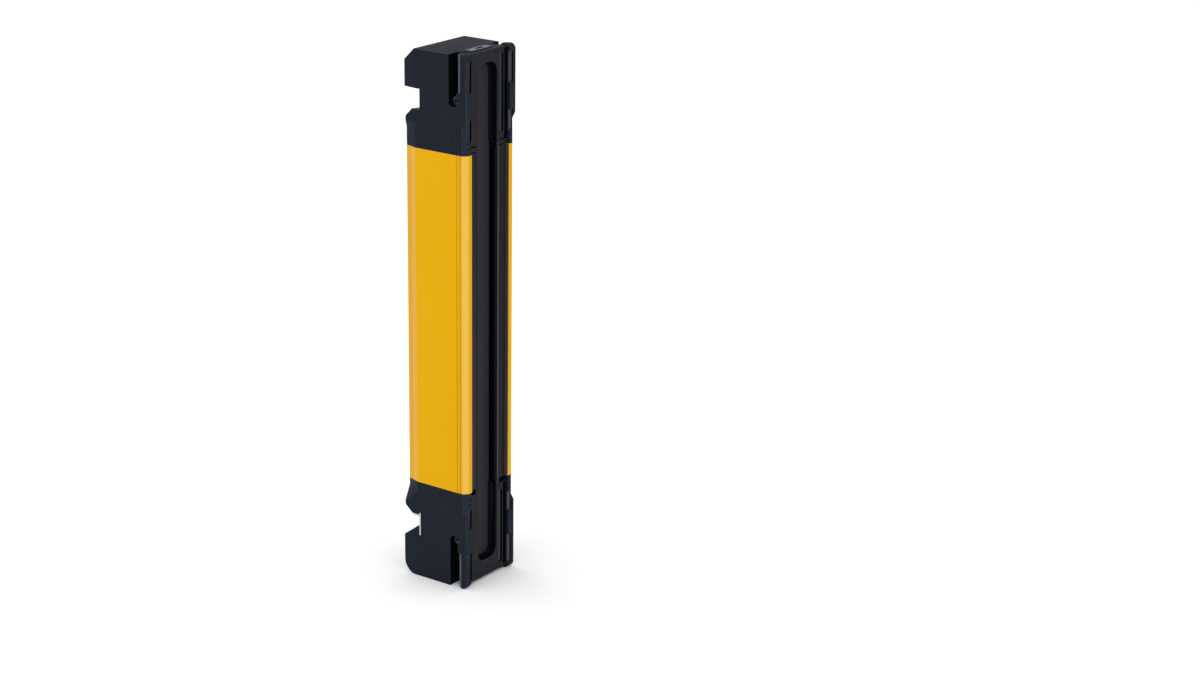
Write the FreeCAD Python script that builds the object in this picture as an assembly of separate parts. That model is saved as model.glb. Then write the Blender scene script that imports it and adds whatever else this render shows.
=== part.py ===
import FreeCAD, Part
import math
import os

V = FreeCAD.Vector

# Receiver bar of a safety light curtain.
# Millimetres, +Z up along the bar, origin at the centre of its foot, front (optical side) facing -Y.

# Whole bar
bar_length = 240.0
top_cap_height = 43.0
bottom_cap_height = 45.0
body_width = 34.5
body_depth = 34.8
housing_wall = 2.0
corner_wall_share = 0.8

# Working allowances
overrun = 1.0
sliver = 0.01
flat_limit = 0.0001

# Corners of the section
front_chamfer = 2.0
back_corner_run = 7.7
back_corner_inset = 3.8

# Lips of the housing and the black front between them
lip_width = 2.3
lip_depth = 3.4
land_recess = 1.5
fit_gap = 0.1

# Optical channel
channel_half = 6.6
channel_draft = 0.5
channel_depth = 4.1
channel_round = 4.5
channel_wall = 1.4
channel_rim_x = 0.35
channel_rim_y = 0.4
channel_foot_x = 0.8
channel_foot_y = 1.2
channel_rib = 2.0
land_thickness = 1.6
strip_edge = 0.4
strip_edge_drop = 0.1
rim_bevel_x = 0.3
rim_bevel_y = 1.1
rim_groove = 0.4
rim_groove_depth = 0.2
window_thickness = 1.6
window_overlap = 1.8
channel_top_margin = 5.8
channel_bottom_margin = 9.0

# Slot in the back of the housing
slot_mouth_half = 3.9
slot_inner_half = 6.0
slot_lip = 2.0
slot_depth = 6.0
slot_wall = 1.8

# Fine grooves along the sides
side_groove_width = 0.6
side_groove_depth = 0.4
side_groove_offsets = (3.1, 4.8)

# Inner rails and ledges of the housing
seal_thickness = 0.6
seal_half_inner = 7.0
ledge_thickness = 1.3
rail_thickness = 1.2
rail_overlap = 0.6
port_radius = 2.7
peg_radius = 1.6
peg_length = 6.0
peg_root = 1.5
port_inset_x = 6.85
port_inset_y = 4.5

# Optics and electronics
beam_count = 12
aperture_thickness = 0.3
aperture_half = 2.5
lens_plate = 1.2
lens_radius = 5.6
lens_rise = 1.9
lens_sink = 0.2
optics_half = 6.3
optics_end_gap = 5.0
carrier_depth = 8.2
lens_pocket_gap = 0.35
tunnel_front_half = 4.8
tunnel_rear_half = 2.0
board_thickness = 1.6
board_half = 10.8
diode_side = 2.8
diode_height = 1.1
chip_height = 1.2
chip_sizes = ((8.0, 8.0, 118.0), (6.0, 10.0, 84.0), (6.0, 10.0, 156.0), (10.0, 6.0, 62.0))

# Caps
cap_end_wall = 3.6
cap_cavity_front_half = 8.6
cap_cavity_rear_half = 11.2
cap_wall = 2.0
chip_clearance = 0.4
frame_gap = 3.0
slit_depth = 2.0
slit_inner = 8.4
top_slits = ((0.0, 0.6), (2.3, 3.0))
bottom_slits = ((0.0, 2.4),)
ridge_half = 11.3
wing_inner_half = 13.4
wing_groove_depth = 2.5
wing_groove_end = 1.2
wing_slope = 3.0
top_wing_length = 29.7
bottom_wing_length = 32.5
wing_edge_bevel_y = 2.0
wing_edge_bevel_x = 1.3
wing_edge_bevel_length = 16.5
front_panel_lift = 1.4
wing_round = 2.4
wing_step_width = 2.2
wing_step_depth = 0.8
wing_steps = ((3.0, 16.5), (28.0, 37.0))
wing_tick_width = 0.5
wing_tick_depth = 0.7
wing_ticks = (2.6, 5.0)
dot_radius = 0.45
dot_depth = 0.8
top_dots = ((0.0, 3.0),)
bottom_dots = ((0.0, 4.6), (-8.7, 10.6), (-8.6, 30.9))

# Bracket slots beside the wings
side_slot_width = 4.2
side_slot_depth = 5.95
side_slot_front = 4.8
top_side_slot_length = 21.7
bottom_side_slot_length = 23.3
side_slot_bore_radius = 2.5
side_slot_bore_inset = 1.5
side_screw_head_radius = 1.9
side_screw_head = 3.9
side_screw_shank_radius = 1.0
side_screw_shank = 2.0
side_screw_play = 0.05
small_hex_across = 1.5
small_hex_depth = 0.8

# Indicator strip beside the channel
indicator_inner = 8.2
indicator_width = 2.6
indicator_depth = 2.5
indicator_set_back = 0.6
indicator_end_gap = 3.0
indicator_lens = 0.9
led_side = 1.2
led_count = 4

# Back of the top cap
jaw_taper_low = 7.5
jaw_taper_high = 11.0
jaw_height = 17.3
jaw_corner_run_x = 3.25
jaw_corner_inset_x = 0.75
jaw_corner_inset_y = 1.9
jaw_chamfer_y = 6.5
jaw_chamfer_z = 6.1
jaw_saddle = 2.0
jaw_saddle_edge = 0.5
notch_height = 8.4
notch_depth = 10.2
notch_column_radius = 14.0
notch_column_rise = 1.0
notch_pocket_width = 3.8
notch_pocket_height = 6.0
notch_pocket_depth = 4.0
notch_pocket_edge = 1.4
block_set_back = 1.3
block_corner_inset = 1.05
block_chamfer_y = 5.9
block_chamfer_z = 5.4
pad_width = 14.0
pad_centre_x = -1.0
pad_depth = 4.0
pad_height = 0.4
pad_centre_y = 4.6
pad_sink = 0.5
pad_window_width = 5.0
pad_window_depth = 1.8
pad_window_recess = 0.8

# Screws
block_screw_head_radius = 2.6
block_screw_head = 2.5
block_screw_shank_radius = 1.5
block_screw_shank = 5.0
block_screw_recess = 0.5
block_screw_gap = 0.35
hex_across = 2.5
hex_depth = 1.4
top_block_screws_at = ((12.3, 8.8), (-12.3, 14.4))
bottom_block_screws_at = ((11.0, 13.4), (-13.3, 9.9))
jaw_screw_offset = 9.6
jaw_screw_inset = 7.8
jaw_screw_seat = 2.2
jaw_screw_room = 0.35
jaw_screw_radius = 1.9
jaw_screw_head = 1.6
jaw_screw_shank_radius = 1.1
jaw_screw_shank = 4.0

# Back of the bottom cap
low_jaw_height = 15.6
low_jaw_straight = 4.0
low_jaw_taper = 10.4
low_jaw_corner = 0.7
low_jaw_chamfer_y = 4.4
low_jaw_chamfer_z = 3.8
low_notch_depth = 9.1
low_notch_rise = 4.7
low_block_slope_y = 8.6
low_block_slope_z = 6.4
low_block_round = 6.5
foot_pocket_low_x = -1.0
foot_pocket_high_x = 13.0
foot_pocket_height = 8.4
foot_pocket_depth = 5.0
foot_hole_x = -9.6
foot_hole_z = 12.6
foot_hole_radius = 0.8
foot_hole_depth = 4.0

# Earth plate
plate_thickness = 0.7
plate_embed_low = 5.0
plate_embed_high = 0.9
plate_leg = 3.4

# Cable connector in the rear notch
connector_inset = 4.2
connector_drop = 4.4
connector_radius = 3.6
connector_bore = 2.7
connector_low_x = -7.0
connector_high_x = 10.0
ring_radius = 4.1
ring_low_x = -1.5
ring_high_x = 3.5
ring_teeth = 24
ring_tooth_depth = 0.25
connector_gap = 0.3
root_low_x = 4.2
root_high_x = 9.6
root_half_height = 2.8
insert_depth = 4.0
pin_count = 5
pin_circle = 1.6
pin_half = 0.35
pin_length = 2.6
pin_recess = 1.0

# Gaskets
gasket_thickness = 0.8
gasket_inset = 0.5
gasket_gap = 0.1

# Places that follow from the sizes above
half_w = body_width / 2
front = -body_depth / 2
back = body_depth / 2
housing_low = bottom_cap_height
housing_high = bar_length - top_cap_height
lip_inner = half_w - front_chamfer - lip_width
lip_back = front + lip_depth
land_y = front + land_recess
window_front = land_y + channel_depth
window_back = window_front + window_thickness
channel_floor_half = channel_half - channel_draft
window_half = channel_floor_half + window_overlap
channel_low = channel_bottom_margin
channel_high = bar_length - channel_top_margin
window_low = channel_low - window_overlap
window_high = channel_high + window_overlap
inner_half = half_w - housing_wall
ledge_front = window_back + seal_thickness
aperture_back = window_back + aperture_thickness
lens_back = aperture_back + lens_plate + lens_rise
carrier_front = aperture_back + lens_plate
carrier_back = carrier_front + carrier_depth
board_back = carrier_back + board_thickness
optics_low = optics_end_gap
optics_high = bar_length - optics_end_gap
side_slot_y0 = front + side_slot_front
side_slot_y1 = side_slot_y0 + side_slot_width
side_slot_floor = half_w - side_slot_depth
block_low = housing_high + jaw_height + notch_height
notch_low = housing_high + jaw_height
low_jaw_bottom = housing_low - low_jaw_height
low_block_top = low_jaw_bottom - low_notch_rise
connector_z = low_jaw_bottom - connector_drop
beam_pitch = bar_length / beam_count
connector_y = back - connector_inset
port_x = half_w - port_inset_x
port_y = back - port_inset_y
cavity_back = board_back + chip_height + chip_clearance
block_back_y = back - block_set_back
notch_floor_y = back - notch_depth
low_notch_floor_y = back - low_notch_depth
jaw_screw_y = back - jaw_screw_inset


def box(x0, x1, y0, y1, z0, z1):
    """Axis-aligned block between two corners."""
    return Part.makeBox(x1 - x0, y1 - y0, z1 - z0, V(x0, y0, z0))


def face_xy(points, z):
    """Flat polygon at height z."""
    corners = [V(x, y, z) for x, y in points]
    return Part.Face(Part.makePolygon(corners + corners[:1]))


def prism(points, z0, z1):
    """Upright prism on a polygon of x, y points."""
    return face_xy(points, z0).extrude(V(0, 0, z1 - z0))


def side_prism(points, x0, x1):
    """Prism along X on a polygon of y, z points."""
    corners = [V(x0, y, z) for y, z in points]
    return Part.Face(Part.makePolygon(corners + corners[:1])).extrude(V(x1 - x0, 0, 0))


def skin(lower, upper):
    """Solid with flat faces between two outlines that have the same number of corners."""
    faces = [Part.Face(Part.makePolygon(ring + ring[:1])) for ring in (lower, upper)]
    count = len(lower)
    for i in range(count):
        j = (i + 1) % count
        for corners in ((lower[i], lower[j], upper[j]), (lower[i], upper[j], upper[i])):
            if (corners[1] - corners[0]).cross(corners[2] - corners[0]).Length > flat_limit:
                faces.append(Part.Face(Part.makePolygon(list(corners) + [corners[0]])))
    solid = Part.makeSolid(Part.makeShell(faces))
    if solid.Volume < 0:
        solid.reverse()
    return solid.removeSplitter()


def frustum(half_a, ya, half_b, yb, z):
    """Square bar along Y that tapers from one half width to another."""
    near = (-half_a, ya, z - half_a, z - half_b, -half_b)
    far = (half_a, yb, z + half_a, z + half_b, half_b)
    return Part.makeWedge(*near, *far)


def cylinder(radius, start, direction, length):
    """Round bar from a start point."""
    return Part.makeCylinder(radius, length, V(*start), V(*direction))


def whole(half_points):
    """Closed outline from its right half, listed from front to back."""
    return half_points + [(-x, y) for x, y in reversed(half_points)]


def mirror_x(shape):
    return shape.mirror(V(0, 0, 0), V(1, 0, 0))


def both(shape):
    """A shape and its mirror image across the middle plane."""
    return [shape, mirror_x(shape)]


def join(shapes):
    body = shapes[0].fuse(shapes[1:]) if len(shapes) > 1 else shapes[0]
    return body.removeSplitter()


def group(shapes):
    """Separate solids kept in one node."""
    return Part.makeCompound(shapes)


def save(name, shape):
    shape.exportStep("parts/" + name + ".step")
    solids = shape.Solids
    faces = len(shape.Faces)
    volume = shape.Volume
    print(name, "solids", len(solids), "faces", faces, "volume", round(volume, 1), "valid", shape.isValid())


# Outlines of the section

def housing_half():
    return [
        (half_w - front_chamfer, front),
        (half_w, front + front_chamfer),
        (half_w, back - back_corner_run),
        (half_w - back_corner_inset / 2, back - back_corner_inset / 2),
        (half_w - back_corner_inset, back),
    ]


def jaw_half():
    """The same section with its back corners filled out."""
    return [
        (half_w - front_chamfer, front),
        (half_w, front + front_chamfer),
        (half_w, back - back_corner_run),
        (half_w - jaw_corner_inset_x, back - jaw_corner_inset_y),
        (half_w - jaw_corner_run_x, back),
    ]


def low_jaw_half():
    """The same section with nearly square back corners."""
    return [
        (half_w - front_chamfer, front),
        (half_w, front + front_chamfer),
        (half_w, back - back_corner_run),
        (half_w, back - low_jaw_corner),
        (half_w - low_jaw_corner, back),
    ]


def block_half():
    """Section of the screwed block at the top of the bar."""
    return [
        (half_w - front_chamfer, front),
        (half_w, front + front_chamfer),
        (half_w, back - back_corner_run),
        (half_w - block_corner_inset, block_back_y),
    ]


def plain_half(back_y):
    return [(half_w - front_chamfer, front), (half_w, front + front_chamfer), (half_w, back_y)]


def side_grooves(z0, z1):
    """Cutters for the fine grooves that run along both sides."""
    cutters = []
    for offset in side_groove_offsets:
        y = front + offset
        points = [
            (half_w - side_groove_depth, y),
            (half_w + side_groove_depth, y - side_groove_width),
            (half_w + side_groove_depth, y + side_groove_width),
        ]
        cutters += both(prism(points, z0, z1))
    return cutters


# Yellow housing

def slot_enclosure(z0, z1, grow):
    """Rectangle around the rear slot, wider than its inside by grow."""
    half = slot_inner_half + grow
    return box(-half, half, back - slot_depth - grow, back + overrun, z0, z1)


def rear_slot(z0, z1):
    mouth = box(-slot_mouth_half, slot_mouth_half, back - slot_depth, back + overrun, z0, z1)
    inner = box(-slot_inner_half, slot_inner_half, back - slot_depth, back - slot_lip, z0, z1)
    return mouth.fuse(inner)


def housing_cavity(z0, z1):
    """Inside of the housing, less the slot's wall, the ledges, the board rails and the screw ports."""
    corner_x = half_w - back_corner_inset / 2
    corner_y = back - back_corner_inset / 2
    half_points = [
        (inner_half, lip_back),
        (inner_half, back - back_corner_run - housing_wall / 3),
        (corner_x - housing_wall * corner_wall_share, corner_y - housing_wall * corner_wall_share),
        (half_w - back_corner_inset - housing_wall / 2, back - housing_wall),
    ]
    cavity = prism(whole(half_points), z0, z1)
    mouth = box(-lip_inner, lip_inner, front - overrun, lip_back + sliver, z0, z1)
    keep = [slot_enclosure(z0, z1, slot_wall)]
    keep += both(box(seal_half_inner, half_w, ledge_front, ledge_front + ledge_thickness, z0, z1))
    for y in (carrier_back - fit_gap - rail_thickness, board_back + fit_gap):
        keep += both(box(board_half - rail_overlap, half_w, y, y + rail_thickness, z0, z1))
    boss = cylinder(port_radius, (port_x, port_y, z0), (0, 0, 1), z1 - z0)
    web = box(port_x - port_radius, port_x + port_radius, port_y, back, z0, z1)
    keep += both(boss.fuse(web))
    return cavity.fuse(mouth).cut(keep)


def screw_ports(z0, z1, radius):
    return both(cylinder(radius, (port_x, port_y, z0), (0, 0, 1), z1 - z0))


def housing_section(z0, z1):
    body = prism(whole(housing_half()), z0, z1)
    below = z0 - overrun
    above = z1 + overrun
    cutters = [housing_cavity(below, above), rear_slot(below, above)]
    cutters += screw_ports(below, above, peg_radius + fit_gap)
    cutters += side_grooves(below, above)
    return body.cut(cutters).removeSplitter()


# Black front of the housing

def window_strip(z0, z1):
    """Right-hand strip: land, channel wall, a thin upstand by the lip and a foot hooked behind it."""
    outer = lip_inner - fit_gap
    hook = inner_half - fit_gap
    wall_outer = channel_half + channel_wall
    points = [
        (channel_half - rim_bevel_x, land_y + rim_bevel_y),
        (channel_half + rim_bevel_x, land_y),
        (wall_outer, land_y),
        (wall_outer, land_y + rim_groove_depth),
        (wall_outer + rim_groove, land_y + rim_groove_depth),
        (wall_outer + rim_groove, land_y),
        (outer - strip_edge, land_y),
        (outer - strip_edge, front + strip_edge_drop),
        (outer, front + strip_edge_drop),
        (outer, lip_back),
        (hook, lip_back),
        (hook, lip_back + land_thickness),
        (outer - land_thickness, lip_back + land_thickness),
        (outer - land_thickness, land_y + land_thickness),
        (wall_outer, land_y + land_thickness),
        (wall_outer, window_front),
        (channel_floor_half, window_front),
    ]
    return prism(points, z0, z1)


def rounded_outline(half, y, z0, z1, radius):
    """Upright rectangle with round corners, facing along Y."""
    flat = half - radius
    middle = flat + radius * math.sqrt(0.5)
    edges = []
    for x_way, z, z_way in ((1, z0, 1), (-1, z1, -1)):
        centre_z = z + z_way * radius
        mid_z = centre_z - z_way * (middle - flat)
        opposite = z1 - radius if z_way > 0 else z0 + radius
        start = V(x_way * flat, y, z)
        side = V(x_way * half, y, centre_z)
        far = V(x_way * half, y, opposite)
        last = V(x_way * flat, y, opposite + z_way * radius)
        far_mid = V(x_way * middle, y, opposite + z_way * (middle - flat))
        edges.append(Part.LineSegment(V(-x_way * flat, y, z), start).toShape())
        edges.append(Part.Arc(start, V(x_way * middle, y, mid_z), side).toShape())
        edges.append(Part.LineSegment(side, far).toShape())
        edges.append(Part.Arc(far, far_mid, last).toShape())
    return Part.Wire(edges)


def channel_cutter(low, high):
    """Drafted channel with rounded ends: a small rim, steep walls and a sloping foot at the window."""
    foot_half = channel_floor_half + channel_draft * channel_foot_y / channel_depth
    levels = (
        (land_y, channel_half + channel_rim_x),
        (land_y + channel_rim_y, channel_half),
        (window_front - channel_foot_y, foot_half),
        (window_front, foot_half - channel_foot_x),
    )
    outlines = []
    for y, half in levels:
        inset = channel_half - half
        outlines.append(rounded_outline(half, y, low + inset, high - inset, channel_round - inset))
    steps = [Part.makeLoft([a, b], True, True) for a, b in zip(outlines, outlines[1:])]
    steps.append(Part.Face(outlines[0]).extrude(V(0, front - overrun - land_y, 0)))
    return steps


def front_window():
    return box(-window_half, window_half, window_front, window_back, window_low, window_high)


def window_seal(z0, z1):
    return box(seal_half_inner, window_half, window_back, ledge_front, z0, z1)


# Optics and electronics

def beam_heights():
    middle = bar_length / 2
    first = middle - beam_pitch * (beam_count - 1) / 2
    return [first + beam_pitch * i for i in range(beam_count)]


def aperture_strip():
    strip = box(-optics_half, optics_half, window_back, aperture_back, optics_low, optics_high)
    half = aperture_half
    y0 = window_back - overrun
    y1 = aperture_back + overrun
    holes = [box(-half, half, y0, y1, z - half, z + half) for z in beam_heights()]
    return strip.cut(holes)


def lens_bar():
    bar = box(-optics_half, optics_half, aperture_back, carrier_front, optics_low, optics_high)
    sphere_radius = (lens_radius ** 2 + lens_rise ** 2) / (2 * lens_rise)
    domes = []
    for z in beam_heights():
        centre = V(0, carrier_front + lens_rise - sphere_radius, z)
        ball = Part.makeSphere(sphere_radius, centre)
        low = z - lens_radius
        high = z + lens_radius
        room = box(-lens_radius, lens_radius, carrier_front - lens_sink, lens_back + overrun, low, high)
        domes.append(ball.common(room))
    return bar.fuse(domes).removeSplitter()


def optics_carrier():
    """Block with one pocket for each lens and a tapered tunnel behind it."""
    body = box(-optics_half, optics_half, carrier_front, carrier_back, optics_low, optics_high)
    pocket = lens_radius + lens_pocket_gap
    pocket_back = lens_back + lens_pocket_gap
    tools = []
    for z in beam_heights():
        tools.append(box(-pocket, pocket, carrier_front - overrun, pocket_back, z - pocket, z + pocket))
        tools.append(frustum(tunnel_front_half, pocket_back, tunnel_rear_half, carrier_back, z))
    return body.cut(tools)


def main_board():
    return box(-board_half, board_half, carrier_back, board_back, optics_low, optics_high)


def photodiodes():
    half = diode_side / 2
    y0 = carrier_back - diode_height
    return group([box(-half, half, y0, carrier_back, z - half, z + half) for z in beam_heights()])


def board_chips():
    chips = []
    for width, height, z in chip_sizes:
        y1 = board_back + chip_height
        chips.append(box(-width / 2, width / 2, board_back, y1, z - height / 2, z + height / 2))
    return group(chips)


# Shared front of both caps

class CapEnd:
    """Heights of one cap: where it meets the housing, where it ends, and which way it points."""

    def __init__(self, mate, end, wing_length, slot_length, panel_lift, slits, dots):
        self.mate = mate
        self.end = end
        self.way = 1 if end > mate else -1
        self.wing_length = wing_length
        self.slot_length = slot_length
        self.panel_lift = panel_lift
        self.slits = slits
        self.dots = dots

    def inward(self, distance):
        """Height at a distance in from the free end."""
        return self.end - self.way * distance

    def outward(self, distance):
        """Height at a distance from the mating face."""
        return self.mate + self.way * distance

    def span(self, a, b):
        return (min(a, b), max(a, b))


def wing_details(cap):
    """Cutters for the shallow steps, the ticks and the round outer end of both wings."""
    cutters = []
    step_x = wing_inner_half + wing_step_width
    for a, b in wing_steps:
        z0, z1 = cap.span(cap.inward(a), cap.inward(b))
        step_y = front + wing_step_depth
        cutters += both(box(wing_inner_half - sliver, step_x, front - overrun, step_y, z0, z1))
    for distance in wing_ticks:
        z0, z1 = cap.span(cap.outward(distance), cap.outward(distance + wing_tick_width))
        cutters += both(box(lip_inner, step_x, front - overrun, front + wing_tick_depth, z0, z1))
    z0, z1 = cap.span(cap.inward(wing_round), cap.end + cap.way)
    corner = box(-half_w - overrun, half_w + overrun, front - overrun, front + wing_round, z0, z1)
    axis = (-half_w - overrun, front + wing_round, cap.inward(wing_round))
    roll = cylinder(wing_round, axis, (1, 0, 0), body_width + 2 * overrun)
    panel = box(-wing_inner_half, wing_inner_half, land_y, back, z0, z1)
    cutters.append(corner.cut([roll, panel]))
    return cutters


def cap_channel(cap):
    """Channel and window seat, with a rib on each wall beside the mating face."""
    z0, z1 = cap.span(cap.outward(channel_rib), cap.end + cap.way)
    beyond = box(-half_w, half_w, front - 2 * overrun, back, z0, z1)
    cutters = [step.common(beyond) for step in channel_cutter(channel_low, channel_high)]
    z0, z1 = cap.span(cap.mate - cap.way, cap.outward(channel_rib))
    cutters.append(box(-channel_floor_half, channel_floor_half, front - overrun, window_front, z0, z1))
    seat_half = window_half + fit_gap
    seat_low = window_low - fit_gap
    seat_high = window_high + fit_gap
    cutters.append(box(-seat_half, seat_half, window_front, window_back, seat_low, seat_high))
    return cutters


def cap_front_cutters(cap):
    """Recess between the lips, slits, wing grooves, wing details and the small dots."""
    z0, z1 = cap.span(cap.mate - cap.way, cap.end + cap.way)
    cutters = [box(-wing_inner_half, wing_inner_half, front - overrun, land_y, z0, z1)]
    for a, b in cap.slits:
        z0, z1 = cap.span(cap.outward(a), cap.outward(b))
        cutters += both(box(slit_inner, wing_inner_half, front - overrun, land_y + slit_depth, z0, z1))
    z0, z1 = cap.span(cap.outward(frame_gap), cap.inward(cap.panel_lift + wing_groove_end))
    groove_y = land_y + wing_groove_depth
    cutters += both(box(ridge_half, wing_inner_half, front - overrun, groove_y, z0, z1))
    for x, distance in cap.dots:
        start = (x, front - overrun, cap.inward(distance))
        cutters.append(cylinder(dot_radius, start, (0, 1, 0), land_recess + overrun + dot_depth))
    return cutters + wing_details(cap) + cap_channel(cap)


def cap_cavity(cap):
    z0, z1 = cap.span(cap.mate - cap.way, cap.inward(cap_end_wall))
    step_y = side_slot_y1 + cap_wall
    front_part = box(-cap_cavity_front_half, cap_cavity_front_half, window_back, step_y, z0, z1)
    rear_part = box(-cap_cavity_rear_half, cap_cavity_rear_half, step_y - sliver, cavity_back, z0, z1)
    return front_part.fuse(rear_part)


def slot_screw_centre(cap):
    """Y and Z of the screw at the inner end of a bracket slot."""
    return side_slot_y1 - side_slot_bore_radius, cap.inward(cap.slot_length - side_slot_bore_inset)


def cap_side_slots(cap):
    """Bracket slots of both sides, each with a screw's bore at its inner end and a bevelled front edge."""
    z0, z1 = cap.span(cap.inward(cap.slot_length), cap.end + cap.way)
    slot = box(side_slot_floor, half_w + overrun, side_slot_y0, side_slot_y1, z0, z1)
    y, z = slot_screw_centre(cap)
    bore = cylinder(side_slot_bore_radius, (side_slot_floor, y, z), (1, 0, 0), side_slot_depth + overrun)
    hole_start = (side_slot_floor - side_screw_shank, y, z)
    hole = cylinder(side_screw_shank_radius, hole_start, (1, 0, 0), side_screw_shank + sliver)
    b0, b1 = cap.span(cap.inward(wing_edge_bevel_length), cap.end + cap.way)
    bevel = prism([
        (half_w + sliver, side_slot_y0 - wing_edge_bevel_y),
        (half_w + sliver, side_slot_y0 + sliver),
        (half_w - wing_edge_bevel_x, side_slot_y0 + sliver),
    ], b0, b1)
    return both(slot.fuse([bore, hole, bevel]))


def slot_screw_pair(cap):
    y, z = slot_screw_centre(cap)
    head = cylinder(side_screw_head_radius, (side_slot_floor, y, z), (1, 0, 0), side_screw_head)
    shank_start = (side_slot_floor - side_screw_shank + fit_gap, y, z)
    shank = cylinder(side_screw_shank_radius - side_screw_play, shank_start, (1, 0, 0), side_screw_shank)
    drive = hex_socket(side_slot_floor + side_screw_head, y, z, (1, 0, 0), small_hex_across, small_hex_depth)
    return both(head.fuse(shank).cut(drive))


def wing_corners(cap):
    """Square outer corners of the wings, running out in a slope towards the housing."""
    far = cap.inward(cap.wing_length + wing_slope)
    near = cap.inward(cap.wing_length)
    corner_x = half_w - front_chamfer
    corner_y = front + front_chamfer
    full = [V(corner_x - sliver, front, near), V(half_w, front, near), V(half_w, corner_y + sliver, near)]
    tip = V(half_w - front_chamfer / 2, front + front_chamfer / 2, far)
    z0, z1 = cap.span(near, cap.end)
    triangle = [(point.x, point.y) for point in full]
    slope = [
        Part.Face(Part.makePolygon(full + full[:1])),
        Part.Face(Part.makePolygon([full[0], full[1], tip, full[0]])),
        Part.Face(Part.makePolygon([full[1], full[2], tip, full[1]])),
        Part.Face(Part.makePolygon([full[2], full[0], tip, full[2]])),
    ]
    run_out = Part.makeSolid(Part.makeShell(slope))
    return both(prism(triangle, z0, z1)) + both(run_out)


def hex_socket(x, y, z, direction, across, depth):
    """Hexagonal recess with its mouth at a point, going in against the direction."""
    radius = across / math.sqrt(3)
    way = V(*direction)
    start = V(x, y, z) - way * depth
    points = []
    for i in range(6):
        a = math.radians(60 * i)
        u = radius * math.cos(a)
        w = radius * math.sin(a)
        points.append(start + (V(0, u, w) if way.x else V(u, 0, w) if way.y else V(u, w, 0)))
    face = Part.Face(Part.makePolygon(points + points[:1]))
    return face.extrude(way * (depth + overrun))


def indicator_recess(cap):
    start = cap.outward(frame_gap + indicator_end_gap)
    z0, z1 = cap.span(start, cap.inward(indicator_end_gap + cap.panel_lift))
    outer_x = indicator_inner + indicator_width
    return box(indicator_inner, outer_x, front - overrun, land_y + indicator_depth, z0, z1)


def indicator_lens_piece(cap):
    z0, z1 = cap.span(cap.outward(frame_gap + indicator_end_gap + fit_gap),
                      cap.inward(indicator_end_gap + cap.panel_lift + fit_gap))
    y0 = land_y + indicator_set_back
    y1 = y0 + indicator_lens
    return box(indicator_inner + fit_gap, indicator_inner + indicator_width - fit_gap, y0, y1, z0, z1)


def indicator_leds():
    leds = []
    y0 = land_y + indicator_set_back + indicator_lens
    y1 = land_y + indicator_depth
    x0 = indicator_inner + (indicator_width - led_side) / 2
    for cap in (TOP, BOTTOM):
        a = cap.outward(frame_gap + indicator_end_gap)
        b = cap.inward(indicator_end_gap + cap.panel_lift)
        for i in range(led_count):
            z = a + (b - a) * (i + 0.5) / led_count
            leds.append(box(x0, x0 + led_side, y0, y1, z - led_side / 2, z + led_side / 2))
    return group(leds)


def outline_inset(z, inset):
    """Outline of the housing, moved inward."""
    return face_xy(whole(housing_half()), z).makeOffset2D(-inset, 2)


def gasket(cap, grow=0.0):
    """Seal on the end wall of the housing: round the sides and round the rear slot, open at the front."""
    low, high = cap.span(cap.mate, cap.outward(gasket_thickness))
    lift = V(0, 0, high - low)
    outer = outline_inset(low, gasket_inset - grow).extrude(lift)
    inner = outline_inset(low, housing_wall - gasket_inset + grow).extrude(lift)
    slot_gap = gasket_inset - grow
    around_slot = slot_enclosure(low, high, slot_wall - gasket_inset + grow)
    ring = outer.cut(inner).fuse(around_slot.common(outer))
    below = low - overrun
    above = high + overrun
    cutters = [
        box(-half_w, half_w, front - overrun, lip_back + land_thickness + slot_gap, below, above),
        slot_enclosure(below, above, slot_gap),
    ]
    return ring.cut(cutters).removeSplitter()


def cap_pegs(cap):
    """Pegs that push into the round ports of the housing."""
    z0, z1 = cap.span(cap.outward(-peg_length), cap.outward(peg_root))
    return both(cylinder(peg_radius, (port_x, port_y, z0), (0, 0, 1), z1 - z0))


def block_screw(x, y, z):
    """Socket head screw whose head ends at y, pointing out of the back."""
    head = cylinder(block_screw_head_radius, (x, y - block_screw_head, z), (0, 1, 0), block_screw_head)
    shank = cylinder(block_screw_shank_radius, (x, y - block_screw_head - block_screw_shank, z),
                     (0, 1, 0), block_screw_shank)
    return head.fuse(shank).cut(hex_socket(x, y, z, (0, 1, 0), hex_across, hex_depth))


def block_screw_hole(x, y, z):
    seat_y = y - block_screw_recess - block_screw_head
    bore_radius = block_screw_head_radius + block_screw_gap
    bore = cylinder(bore_radius, (x, seat_y, z), (0, 1, 0), y + 2 * overrun - seat_y)
    hole_start = (x, seat_y - block_screw_shank, z)
    hole = cylinder(block_screw_shank_radius, hole_start, (0, 1, 0), block_screw_shank)
    return bore.fuse(hole)


def block_screws():
    screws = []
    at_top = (TOP, block_back_y, top_block_screws_at)
    at_bottom = (BOTTOM, back, bottom_block_screws_at)
    for cap, face_y, places in (at_top, at_bottom):
        for x, distance in places:
            screws.append(block_screw(x, face_y - block_screw_recess, cap.inward(distance)))
    return group(screws)


def section_change(half_a, za, half_b, zb):
    """Flat-faced run between two sections at different heights."""
    rings = []
    for half_points, z in ((half_a, za), (half_b, zb)):
        rings.append([V(x, y, z) for x, y in whole(half_points)])
    return skin(rings[0], rings[1])


# Top cap

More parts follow.
